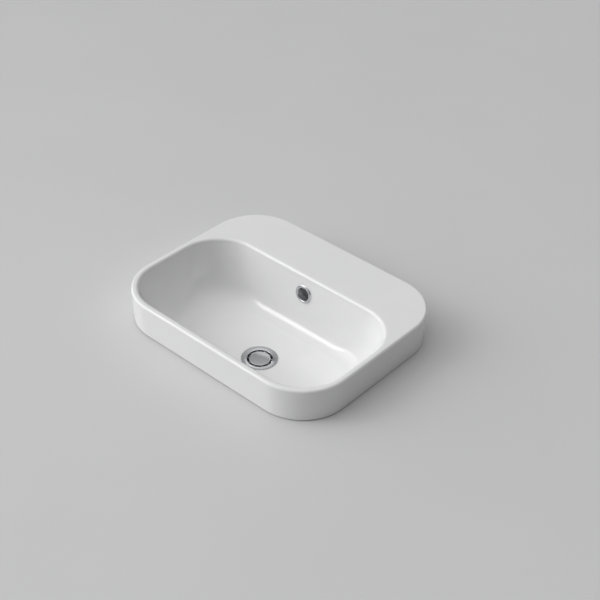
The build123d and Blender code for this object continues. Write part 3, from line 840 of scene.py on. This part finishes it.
    def build(self) -> bpy.types.Object:
        """Makes the china body."""
        axis = Matrix.Translation((0, self.waste_y, 0))
        deck_rise = self.bowl.rim_height - self.deck / 2 - self.overflow_height
        hump = self.channel(deck_rise, self.channel_gap + 2 * self.channel_shell,
                            self.channel_width + 2 * self.channel_shell, 5.0)
        way = self.channel(self.channel_rise, self.channel_gap, self.channel_width, 2.5)
        recess_floor = self.floor_height - self.recess_depth
        neck = self.bore_shoulder - (self.bore_radius - self.hole_radius)
        bore = turned([(0, recess_floor + 1.0, 0), (self.bore_radius, recess_floor + 1.0, 0),
                       (self.bore_radius, self.bore_shoulder, 0), (self.hole_radius, neck, 0),
                       (self.hole_radius, self.boss_bottom - 1, 0), (0, self.boss_bottom - 1, 0)])
        chamber = turned([(0, self.outlet_height + 7, 0), (27.5, self.outlet_height + 7, 2.0),
                          (27.5, self.outlet_height - 7, 2.0), (0, self.outlet_height - 7, 0)])
        reach = self.china + self.channel_gap / 2
        overflow = turned([(0, 4, 0), (self.overflow_radius, 4, 0), (self.overflow_radius, -reach, 0), (0, -reach, 0)], 64)
        body = finished_mesh("china_basin", self.skin())
        return carve(body, [
            ("DIFFERENCE", self.hollow()),
            ("UNION", finished_mesh("channel_hump", hump)),
            ("DIFFERENCE", finished_mesh("waste_bore", placed(bore, axis))),
            ("DIFFERENCE", finished_mesh("overflow_chamber", placed(chamber, axis))),
            ("DIFFERENCE", finished_mesh("overflow_way", way)),
            ("DIFFERENCE", finished_mesh("overflow_hole", placed(overflow, self.overflow_frame()))),
        ])

    def bedding(self) -> bpy.types.Object:
        """The silicone seal between the rim and the counter, squeezed to a soft edge."""
        outer = self.rim(0.0, 3.0)
        inner = self.rim(0.0, 9.0)
        section = ((0.35, 0.0), (0.0, 0.4), (0.0, 1.1), (0.35, 1.5))
        stack = None
        rings = []
        for inset, height in section:
            rings.append(RoundedOutline(outer.half_width - inset, outer.half_depth - inset,
                                        outer.radius - inset, 0.0, height).points())
        for inset, height in reversed(section):
            rings.append(RoundedOutline(inner.half_width + inset, inner.half_depth + inset,
                                        inner.radius + inset, 0.0, height).points())
        stack = RingStack(rings[0])
        start = list(stack.ring)
        bmesh.ops.delete(stack.shape, geom=list(stack.shape.faces), context="FACES_ONLY")
        for ring in rings[1:]:
            stack.grow(ring)
        ends = []
        for ring in (start, stack.ring):
            ends += [stack.shape.edges.get(pair) for pair in zip(ring, ring[1:] + ring[:1])]
        bmesh.ops.bridge_loops(stack.shape, edges=ends)
        bmesh.ops.recalc_face_normals(stack.shape, faces=stack.shape.faces)
        return finished_mesh("bedding_seal", stack.shape)

    def dress(self) -> None:
        """Builds and finishes the china and its seal."""
        dress(self.build(), Slot.CHINA, Body.ROOT, "basin_body")
        dress(self.bedding(), Slot.SILICONE, Body.ROOT, "rim_seal")


@dataclass
class OverflowRing:
    """The chrome ring in the rear wall and the split sleeve behind it."""

    frame: Matrix
    radius: float = 19.2
    proud: float = 2.6
    bore: float = 13.2
    barrel: float = 14.2
    barrel_length: float = 9.0
    sleeve_outer: float = 15.9
    sleeve_inner: float = 14.3
    sleeve_length: float = 13.0
    fingers: int = 4

    def ring(self) -> bpy.types.Object:
        """The ring: a rounded face that dishes to its bore, and the barrel behind."""
        profile = turned([
            (self.radius, 0.0, 0), (self.radius, self.proud, 2.0), (self.bore, self.proud, 1.6),
            (self.bore, -self.barrel_length, 0.3),
            (self.barrel, -self.barrel_length, 0.2), (self.barrel, 0.0, 0),
        ], 128, 5)
        return finished_mesh("overflow_trim", placed(profile, self.frame))

    def sleeve(self) -> bpy.types.Object:
        """The nylon sleeve, ribbed outside and split into fingers at its far end."""
        ribs: list[Corner] = [(self.sleeve_inner, -self.sleeve_length, 0.2), (self.sleeve_inner, -0.05, 0.2),
                              (self.sleeve_outer, -0.05, 0.2)]
        for rib in range(4):
            foot = -2.2 - 2.6 * rib
            ribs += [(self.sleeve_outer, foot, 0), (self.sleeve_outer - 0.5, foot - 0.3, 0),
                     (self.sleeve_outer, foot - 1.6, 0)]
        ribs.append((self.sleeve_outer - 0.4, -self.sleeve_length, 0.2))
        tube = finished_mesh("overflow_grip", placed(turned(ribs, 96, 2), self.frame))
        cuts = []
        for finger in range(self.fingers):
            slit = bmesh.new()
            bmesh.ops.create_cube(slit, size=1.0)
            bmesh.ops.scale(slit, vec=(18.0, 2.0, 9.0), verts=slit.verts)
            bmesh.ops.translate(slit, vec=(9.0, 0, 4.4 - self.sleeve_length), verts=slit.verts)
            turn = Matrix.Rotation(math.tau * finger / self.fingers, 4, "Z")
            cuts.append(("DIFFERENCE", finished_mesh("slit", placed(slit, self.frame @ turn))))
        return carve(tube, cuts)

    def dress(self) -> None:
        """Builds and finishes the ring and its sleeve."""
        dress(self.ring(), Slot.CHROME, Body.ROOT, "overflow_ring")
        dress(self.sleeve(), Slot.GREY_NYLON, Body.ROOT, "overflow_sleeve")


@dataclass
class WasteFitting:
    """The waste body in the floor, clamped to the boss, and the outlet below it."""

    axis: Matrix = field(default_factory=lambda: Matrix.Translation((0, -50.0, 0)))
    flange_top: float = -54.5
    flange_dish: float = 1.5
    flange_radius: float = 34.75
    flange_underside: float = -57.5
    cup_radius: float = 25.0
    cup_outside: float = 26.9
    cup_bottom: float = -64.3
    cone_outside: float = -66.2
    cone_bottom: float = -70.9
    tail_top: float = -72.15
    tail_radius: float = 20.95
    tail_bore: float = 18.4
    tail_bottom: float = -131.5
    thread_depth: float = 1.45
    thread_top: float = -86.5
    slot_top: float = -72.5
    slot_bottom: float = -83.5
    slots: int = 4
    slot_angle: float = math.radians(52)
    hub_top: float = -88.5
    hub_bottom: float = -94.5
    hub_radius: float = 11.5
    hub_bore: float = 8.05
    arm_width: float = 3.0
    boss_bottom: float = -95.0
    seal_bottom: float = -101.0
    washer_bottom: float = -102.5
    nut_bottom: float = -110.5
    nut_flats: float = 55.0
    adapter_top: float = -112.5
    collar_bottom: float = -120.5
    adapter_bottom: float = -144.5
    adapter_flats: float = 56.0
    adapter_thread: float = 23.9
    adapter_bore: float = 17.5
    adapter_seat: float = -133.5

    def body(self) -> bpy.types.Object:
        """Flange, cup and seat cone, slotted and threaded tail, and the crossbar inside."""
        root = self.tail_radius - self.thread_depth
        core = root - UNDER_THREAD
        profile = turned([
            (self.cup_radius, self.flange_top - self.flange_dish, 0.7), (self.flange_radius, self.flange_top, 0.8),
            (self.flange_radius, self.flange_underside, 0.3), (self.cup_outside, self.flange_underside, 0.4),
            (self.cup_outside, self.cone_outside, 0.8), (self.tail_radius, self.tail_top, 0.8),
            (self.tail_radius, self.thread_top + 1.2, 0.3), (core, self.thread_top - 0.2, 0.3),
            (core, self.tail_bottom, 0.3), (self.tail_bore, self.tail_bottom, 0.3),
            (self.tail_bore, self.cone_bottom, 0.8), (self.cup_radius, self.cup_bottom, 0.8),
        ], 160, 4)
        body = finished_mesh("waste_fitting", placed(profile, self.axis))
        thread = threaded_sleeve(self.tail_radius, self.thread_depth, root - 0.35, self.thread_top, self.tail_bottom + 0.6)
        hub = turned([(self.hub_bore, self.hub_top, 0.3), (self.hub_radius, self.hub_top, 0.5),
                      (self.hub_radius, self.hub_bottom, 0.5), (self.hub_bore, self.hub_bottom, 0.3)], 64)
        steps = [("UNION", finished_mesh("tail_thread", placed(thread, self.axis)))]
        steps += [("DIFFERENCE", self.slot_cutter(index)) for index in range(self.slots)]
        core = finished_mesh("crossbar_hub", placed(hub, self.axis))
        carve(core, [("UNION", self.arm(index)) for index in range(4)])
        return carve(body, [*steps, ("UNION", core)])

    def slot_cutter(self, index: int) -> bpy.types.Object:
        """A wedge that opens one overflow slot in the tail."""
        wedge = bmesh.new()
        reach, half = self.tail_radius + 3, self.slot_angle / 2
        rim = [(0.62 * reach * math.cos(half), side * 0.62 * reach * math.sin(half)) for side in (-1, 1)]
        far = [(reach * math.cos(half), side * reach * math.sin(half)) for side in (1, -1)]
        face = wedge.faces.new([wedge.verts.new((x, y, self.slot_bottom)) for x, y in (*rim, *far)])
        top = bmesh.ops.extrude_face_region(wedge, geom=[face])["geom"]
        bmesh.ops.translate(wedge, vec=(0, 0, self.slot_top - self.slot_bottom),
                            verts=[item for item in top if isinstance(item, bmesh.types.BMVert)])
        bmesh.ops.recalc_face_normals(wedge, faces=wedge.faces)
        radial = [edge for edge in wedge.edges if edge.calc_length() > 5
                  and abs(edge.verts[0].co.z - edge.verts[1].co.z) < 0.1
                  and abs(edge.verts[0].co.x - edge.verts[1].co.x) > 1]
        bmesh.ops.bevel(wedge, geom=radial, offset=2.5, offset_type="OFFSET", segments=5,
                        profile=0.5, affect="EDGES", material=-1)
        turn = Matrix.Rotation(math.pi / 2 + math.tau * index / self.slots, 4, "Z")
        return finished_mesh("tail_slot", placed(wedge, self.axis @ turn))

    def arm(self, index: int) -> bpy.types.Object:
        """One arm of the crossbar, with its long edges eased."""
        bar = bmesh.new()
        start, end = self.hub_radius - 1.5, self.tail_bore + 0.6
        bmesh.ops.create_cube(bar, size=1.0)
        bmesh.ops.scale(bar, vec=(end - start, self.arm_width, self.hub_top - self.hub_bottom - 0.4), verts=bar.verts)
        bmesh.ops.translate(bar, vec=((start + end) / 2, 0, (self.hub_top + self.hub_bottom) / 2), verts=bar.verts)
        long_edges = [edge for edge in bar.edges if abs(edge.verts[0].co.x - edge.verts[1].co.x) > 1]
        bmesh.ops.bevel(bar, geom=long_edges, offset=0.6, offset_type="OFFSET", segments=3,
                        profile=0.5, affect="EDGES", material=-1)
        turn = Matrix.Rotation(math.tau * index / 4, 4, "Z")
        return finished_mesh("crossbar_arm", placed(bar, self.axis @ turn))

    def tail_seal(self) -> bpy.types.Object:
        """The tapered rubber seal under the boss."""
        bore = self.tail_radius + 0.3
        profile = turned([(bore, self.boss_bottom, 0.4), (33.0, self.boss_bottom, 0.8),
                          (30.0, self.seal_bottom, 0.8), (bore, self.seal_bottom, 0.4)], 128, 4)
        return finished_mesh("boss_seal", placed(profile, self.axis))

    def slip_washer(self) -> bpy.types.Object:
        """The nylon washer that lets the nut turn without dragging the seal."""
        bore = self.tail_radius + 0.3
        profile = turned([(bore, self.seal_bottom, 0.3), (31.0, self.seal_bottom, 0.35),
                          (31.0, self.washer_bottom, 0.35), (bore, self.washer_bottom, 0.3)], 128)
        return finished_mesh("glide_washer", placed(profile, self.axis))

    def backnut(self) -> bpy.types.Object:
        """The brass hexagon nut."""
        bar = hexagon(self.nut_flats, self.washer_bottom, self.nut_bottom, 2.2)
        nut = finished_mesh("clamping_nut", placed(bar, self.axis))
        bore = self.tail_radius + 0.05
        hole = turned([(0, self.washer_bottom + 1, 0), (bore + 2.0, self.washer_bottom + 1, 0),
                       (bore, self.washer_bottom - 1, 0), (bore, self.nut_bottom + 1, 0),
                       (bore + 2.0, self.nut_bottom - 1, 0), (0, self.nut_bottom - 1, 0)])
        return carve(nut, [("DIFFERENCE", finished_mesh("nut_bore", placed(hole, self.axis)))])

    def adapter(self) -> bpy.types.Object:
        """The outlet adapter: a hexagon collar over a tube with the trap's thread."""
        bore, root = self.tail_radius + 0.05, self.adapter_thread - self.thread_depth
        bar = hexagon(self.adapter_flats, self.adapter_top, self.collar_bottom, 2.2)
        collar = finished_mesh("outlet_adapter_piece", placed(bar, self.axis))
        core = root - UNDER_THREAD
        tube = turned([(0, self.adapter_top - 1, 0), (core, self.adapter_top - 1, 0), (core, self.adapter_bottom, 0.5),
                       (0, self.adapter_bottom, 0)])
        thread = threaded_sleeve(self.adapter_thread, self.thread_depth, root - 0.4, self.collar_bottom - 1.0,
                                 self.adapter_bottom + 0.8)
        hole = turned([(0, self.adapter_top + 1, 0), (bore + 1.6, self.adapter_top + 1, 0),
                       (bore, self.adapter_top - 0.8, 0), (bore, self.adapter_seat, 0),
                       (self.adapter_bore, self.adapter_seat, 0), (self.adapter_bore, self.adapter_bottom + 0.8, 0),
                       (self.adapter_bore + 1.6, self.adapter_bottom - 0.8, 0), (0, self.adapter_bottom - 0.8, 0)])
        return carve(collar, [
            ("UNION", finished_mesh("adapter_tube", placed(tube, self.axis))),
            ("UNION", finished_mesh("adapter_thread", placed(thread, self.axis))),
            ("DIFFERENCE", finished_mesh("adapter_hole", placed(hole, self.axis))),
        ])

    def dress(self) -> None:
        """Builds and finishes the waste's fixed pieces."""
        dress(self.body(), Slot.SATIN_CHROME, Body.ROOT, "waste_body")
        dress(self.tail_seal(), Slot.BLACK_RUBBER, Body.ROOT, "tail_seal")
        dress(self.slip_washer(), Slot.WHITE_NYLON, Body.ROOT, "slip_washer")
        dress(self.backnut(), Slot.BRASS, Body.ROOT, "backnut")
        dress(self.adapter(), Slot.SATIN_CHROME, Body.ROOT, "outlet_adapter")


@dataclass
class PushPlug:
    """The push-down plug: finned cap, seal, and the sprung cartridge that latches it."""

    axis: Matrix = field(default_factory=lambda: Matrix.Translation((0, -50.0, 0)))
    cap_top: float = -56.1
    cap_bottom: float = -58.5
    cap_radius: float = 20.7
    crown: float = 0.6
    boss_radius: float = 14.0
    boss_bottom: float = -60.0
    stud_hole: float = 3.05
    stud_hole_top: float = -56.5
    fins: int = 10
    fin_reach: float = 24.4
    fin_width: float = 1.4
    fin_height: float = 1.6
    seal_radius: float = 22.4
    seal_bottom: float = -62.0
    coil_radius: float = 4.9
    coil_wire: float = 0.45
    coil_turns: int = 5
    coil_bottom: float = -97.85
    coil_top: float = -81.95
    cam_bottom: float = -81.2
    spring_seat: float = -98.6
    travel: float = 5.5

    def cap(self) -> bpy.types.Object:
        """The crowned cap with its centring fins."""
        crown: list[Corner] = []
        for step in range(8):
            radius = self.cap_radius * step / 8
            crown.append((radius, self.cap_top + self.crown * (1 - (radius / self.cap_radius) ** 2), 0))
        profile = turned([
            *crown, (self.cap_radius, self.cap_top, 0.5), (self.cap_radius, self.cap_bottom, 0.3),
            (self.boss_radius, self.cap_bottom, 0.2), (self.boss_radius, self.boss_bottom, 0.3),
            (self.stud_hole, self.boss_bottom, 0.2), (self.stud_hole, self.stud_hole_top, 0),
            (0, self.stud_hole_top, 0),
        ], 160, 4)
        cap = finished_mesh("plug_top", placed(profile, self.axis))
        return carve(cap, [("UNION", self.fin(index)) for index in range(self.fins)])

    def fin(self, index: int) -> bpy.types.Object:
        """One centring fin under the cap's edge, round at its tip."""
        bar = bmesh.new()
        start, end = self.boss_radius - 1, self.fin_reach
        bmesh.ops.create_cube(bar, size=1.0)
        bmesh.ops.scale(bar, vec=(end - start, self.fin_width, self.fin_height), verts=bar.verts)
        middle = self.cap_bottom + self.fin_height / 2 - 0.002
        bmesh.ops.translate(bar, vec=((start + end) / 2, 0, middle), verts=bar.verts)
        tip = [edge for edge in bar.edges if all(vert.co.x > end - 0.1 for vert in edge.verts)]
        bmesh.ops.bevel(bar, geom=tip, offset=0.3, offset_type="OFFSET", segments=3,
                        profile=0.5, affect="EDGES", material=-1)
        turn = Matrix.Rotation(math.tau * index / self.fins, 4, "Z")
        return finished_mesh("cap_fin", placed(bar, self.axis @ turn))

    def seal(self) -> bpy.types.Object:
        """The rubber seal with its bevelled lip and a moulded bead."""
        hole = self.stud_hole
        profile = turned([
            (hole, self.boss_bottom, 0.2), (self.seal_radius, self.boss_bottom, 0.35),
            (self.seal_radius, self.seal_bottom + 0.9, 0.3), (self.seal_radius - 0.9, self.seal_bottom, 0.3),
            (hole, self.seal_bottom, 0.2),
        ], 160)
        return finished_mesh("plug_gasket", placed(profile, self.axis))

    def spring(self) -> bpy.types.Object:
        """The return spring: a round wire wound with closed ends."""
        coil = bmesh.new()
        facing = Matrix.Translation((self.coil_radius, 0, self.coil_bottom)) @ Matrix.Rotation(math.pi / 2, 4, "X")
        bmesh.ops.create_circle(coil, cap_ends=False, segments=12, radius=self.coil_wire, matrix=facing)
        steps = 36 * self.coil_turns
        rise = (self.coil_top - self.coil_bottom) / steps
        bmesh.ops.spin(coil, geom=list(coil.verts) + list(coil.edges), cent=(0, 0, 0), axis=(0, 0, 1),
                       dvec=(0, 0, rise), angle=math.tau * self.coil_turns, steps=steps)
        bmesh.ops.holes_fill(coil, edges=[edge for edge in coil.edges if edge.is_boundary], sides=12)
        bmesh.ops.recalc_face_normals(coil, faces=coil.faces)
        return finished_mesh("coil_spring", placed(coil, self.axis))

    def dress(self) -> None:
        """Builds and finishes the plug."""
        dress(self.cap(), Slot.SATIN_CHROME, Body.PLUG, "plug_cap")
        dress(self.seal(), Slot.BLACK_RUBBER, Body.PLUG, "plug_seal")
        spring = dress(self.spring(), Slot.SPRING_STEEL, Body.ROOT, "return_spring")
        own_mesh(spring)


@dataclass
class EasedPiece:
    """A small turned or moulded piece whose solid is right, with its sharp edges eased."""

    node: str
    name: str
    slot: Slot
    body: Body = Body.ROOT
    ease: float = 0.15

    def build(self) -> bpy.types.Object:
        """Copies the node's mesh, merges it and eases its edges."""
        shape = bmesh.new()
        shape.from_mesh(frame["nodes"][self.node].data)
        bmesh.ops.scale(shape, vec=(1 / MM, 1 / MM, 1 / MM), verts=shape.verts)
        bmesh.ops.remove_doubles(shape, verts=shape.verts, dist=1e-3)
        bmesh.ops.dissolve_limit(shape, angle_limit=math.radians(0.6), verts=shape.verts, edges=shape.edges)
        bmesh.ops.recalc_face_normals(shape, faces=shape.faces)
        sharp = [edge for edge in shape.edges if edge.calc_face_angle(0.0) > math.radians(35)]
        bmesh.ops.bevel(shape, geom=sharp, offset=self.ease, offset_type="OFFSET", segments=2,
                        profile=0.5, affect="EDGES", clamp_overlap=True, material=-1)
        bmesh.ops.remove_doubles(shape, verts=shape.verts, dist=1e-3)
        return finished_mesh(self.name, shape)

    def dress(self) -> None:
        """Builds and finishes the piece."""
        dress(self.build(), self.slot, self.body, self.node)


SMALL_PIECES = (
    EasedPiece("flange_gasket", "flange_washer", Slot.FOAM),
    EasedPiece("adapter_washer", "outlet_washer", Slot.BLACK_RUBBER),
    EasedPiece("seal_retainer", "seal_plate", Slot.WHITE_NYLON, Body.PLUG),
    EasedPiece("plunger", "plug_stem", Slot.BRASS, Body.PLUG),
    EasedPiece("cartridge_housing", "cartridge_case", Slot.BRASS),
    EasedPiece("cartridge_cap", "cartridge_lid", Slot.WHITE_NYLON, ease=0.08),
    EasedPiece("cartridge_locknut", "cartridge_nut", Slot.BRASS, ease=0.3),
    EasedPiece("latch_cam", "cartridge_cam", Slot.WHITE_NYLON, Body.CAM, 0.12),
)


# The studio


@dataclass
class SoftLamp:
    """A rectangular lamp that faces the basin."""

    name: str
    position: tuple[float, float, float]
    size: tuple[float, float]
    power: float
    colour: Colour = (1.0, 1.0, 1.0)
    target: tuple[float, float, float] = (0.0, 0.0, 0.0)

    def build(self) -> None:
        """Hangs the lamp."""
        data = bpy.data.lights.new(self.name, "AREA")
        data.shape = "RECTANGLE"
        data.size, data.size_y = self.size
        data.energy = self.power
        data.color = self.colour
        lamp = bpy.data.objects.new(self.name, data)
        lamp.location = self.position
        way = Vector(self.target) - Vector(self.position)
        lamp.rotation_euler = way.to_track_quat("-Z", "Y").to_euler()
        bpy.context.scene.collection.objects.link(lamp)


@dataclass(frozen=True)
class SkyGlow:
    """A soft bright side of the surroundings."""

    direction: tuple[float, float, float]
    strength: float
    focus: float = 2.0


@dataclass
class Studio:
    """The counter that the basin is let into, the lamps, the surroundings and the camera."""

    floor_colour: Colour = (0.68, 0.68, 0.685)
    floor_reach: float = 6000.0
    cutout_half_width: float = 237.2
    cutout_front: float = -187.4
    cutout_rear: float = 108.0
    cutout_radius: float = 92.0
    backdrop: Colour = (0.60, 0.60, 0.605)
    ambient: float = 0.03
    aim: tuple[float, float, float] = (0.01280, 0.04788, 0.03687)
    azimuth: float = math.radians(40.751)
    elevation: float = math.radians(37.127)
    roll: float = math.radians(1.724)
    distance: float = 2.29849
    lens: float = 72.17
    glows: tuple[SkyGlow, ...] = (
        SkyGlow((-0.90, -0.35, 0.25), 2.15, 12.0),
        SkyGlow((-0.60, -0.75, 0.25), 2.35, 12.0),
        SkyGlow((-0.55, -0.50, 0.67), 1.75, 12.0),
        SkyGlow((-0.52, 0.60, 0.60), 0.28, 8.0),
        SkyGlow((0.0, 0.0, 1.0), 1.45, 4.0),
    )
    lamps: tuple[SoftLamp, ...] = (
        SoftLamp("key_lamp", (-1.55, -1.80, 1.67), (0.75, 1.0), 9.0),
    )

    def floor(self) -> None:
        """Lays the counter with its cut-out."""
        middle = (self.cutout_front + self.cutout_rear) / 2
        half_depth = (self.cutout_rear - self.cutout_front) / 2
        edge = RoundedOutline(self.cutout_half_width, half_depth, self.cutout_radius, middle, 0.0)
        stack = RingStack(edge.points())
        bmesh.ops.delete(stack.shape, geom=list(stack.shape.faces), context="FACES_ONLY")
        for reach in (40.0, 400.0, self.floor_reach):
            ring = RoundedOutline(edge.half_width + reach, edge.half_depth + reach, edge.radius + reach, middle, 0.0)
            stack.grow(ring.points())
        for face in stack.shape.faces:
            face.normal_update()
            if face.normal.z < 0:
                face.normal_flip()
        floor = finished_mesh("counter_floor", stack.shape)
        sheet = NodeSheet("counter_top", self.floor_colour, 0.62)
        cloud = sheet.remap(sheet.noise(3.0, 3.0), 0.35, 0.65, 0.0, 1.0)
        darker = tuple(0.985 * part for part in self.floor_colour)
        sheet.colour_from(sheet.tint(cloud, self.floor_colour, darker))
        sheet.normal_from(sheet.bump(sheet.noise(700.0, 3.0), 0.00002))
        floor.data.materials.append(sheet.material)

    def glow_sum(self, tree: bpy.types.NodeTree) -> bpy.types.NodeSocket:
        """Adds the even light and each glow, by the direction that is looked in."""
        way = tree.nodes.new("ShaderNodeTexCoord").outputs["Generated"]
        total: bpy.types.NodeSocket | None = None
        for glow in self.glows:
            facing = tree.nodes.new("ShaderNodeVectorMath")
            facing.operation = "DOT_PRODUCT"
            tree.links.new(way, facing.inputs[0])
            facing.inputs[1].default_value = Vector(glow.direction).normalized()
            value: bpy.types.NodeSocket = facing.outputs["Value"]
            for operation, amount in (("MAXIMUM", 0.0), ("POWER", glow.focus), ("MULTIPLY", glow.strength)):
                step = tree.nodes.new("ShaderNodeMath")
                step.operation = operation
                tree.links.new(value, step.inputs[0])
                step.inputs[1].default_value = amount
                value = step.outputs[0]
            add = tree.nodes.new("ShaderNodeMath")
            add.operation = "ADD"
            tree.links.new(value, add.inputs[0])
            if total is None:
                add.inputs[1].default_value = self.ambient
            else:
                tree.links.new(total, add.inputs[1])
            total = add.outputs[0]
        return total

    def surroundings(self) -> None:
        """Lights the room softly from its bright side, and shows the camera an even backdrop."""
        world = bpy.data.worlds.new("studio")
        bpy.context.scene.world = world
        world.use_nodes = True
        tree = world.node_tree
        tree.nodes.clear()
        output = tree.nodes.new("ShaderNodeOutputWorld")
        light = tree.nodes.new("ShaderNodeBackground")
        light.name = "room_light"
        tree.links.new(self.glow_sum(tree), light.inputs["Strength"])
        seen = tree.nodes.new("ShaderNodeBackground")
        seen.inputs["Color"].default_value = (*self.backdrop, 1.0)
        mix = tree.nodes.new("ShaderNodeMixShader")
        tree.links.new(tree.nodes.new("ShaderNodeLightPath").outputs["Is Camera Ray"], mix.inputs[0])
        tree.links.new(light.outputs[0], mix.inputs[1])
        tree.links.new(seen.outputs[0], mix.inputs[2])
        tree.links.new(mix.outputs[0], output.inputs["Surface"])

    def camera(self) -> None:
        """Sets the camera by its turn, height, roll and distance from the aim."""
        data = bpy.data.cameras.new("camera")
        data.lens = self.lens
        data.sensor_width = 36.0
        data.clip_end = 50.0
        camera = bpy.data.objects.new("camera", data)
        turn = Matrix.Rotation(self.azimuth, 4, "Z") @ Matrix.Rotation(math.pi / 2 - self.elevation, 4, "X")
        pose = Matrix.Translation(self.aim) @ turn @ Matrix.Rotation(self.roll, 4, "Z")
        camera.matrix_world = pose @ Matrix.Translation((0, 0, self.distance))
        bpy.context.scene.collection.objects.link(camera)
        bpy.context.scene.camera = camera

    def build(self) -> None:
        """Sets the whole studio."""
        self.floor()
        self.surroundings()
        for lamp in self.lamps:
            lamp.build()
        self.camera()
        bpy.context.scene.view_settings.view_transform = "Standard"


def main() -> None:
    """Builds the studio and each sub-assembly."""
    logging.basicConfig(level=logging.INFO, format="%(message)s")
    Studio().build()
    basin = Basin()
    basin.dress()
    OverflowRing(basin.overflow_frame()).dress()
    WasteFitting().dress()
    PushPlug().dress()
    for piece in SMALL_PIECES:
        piece.dress()


if __name__ == "__main__":
    main()
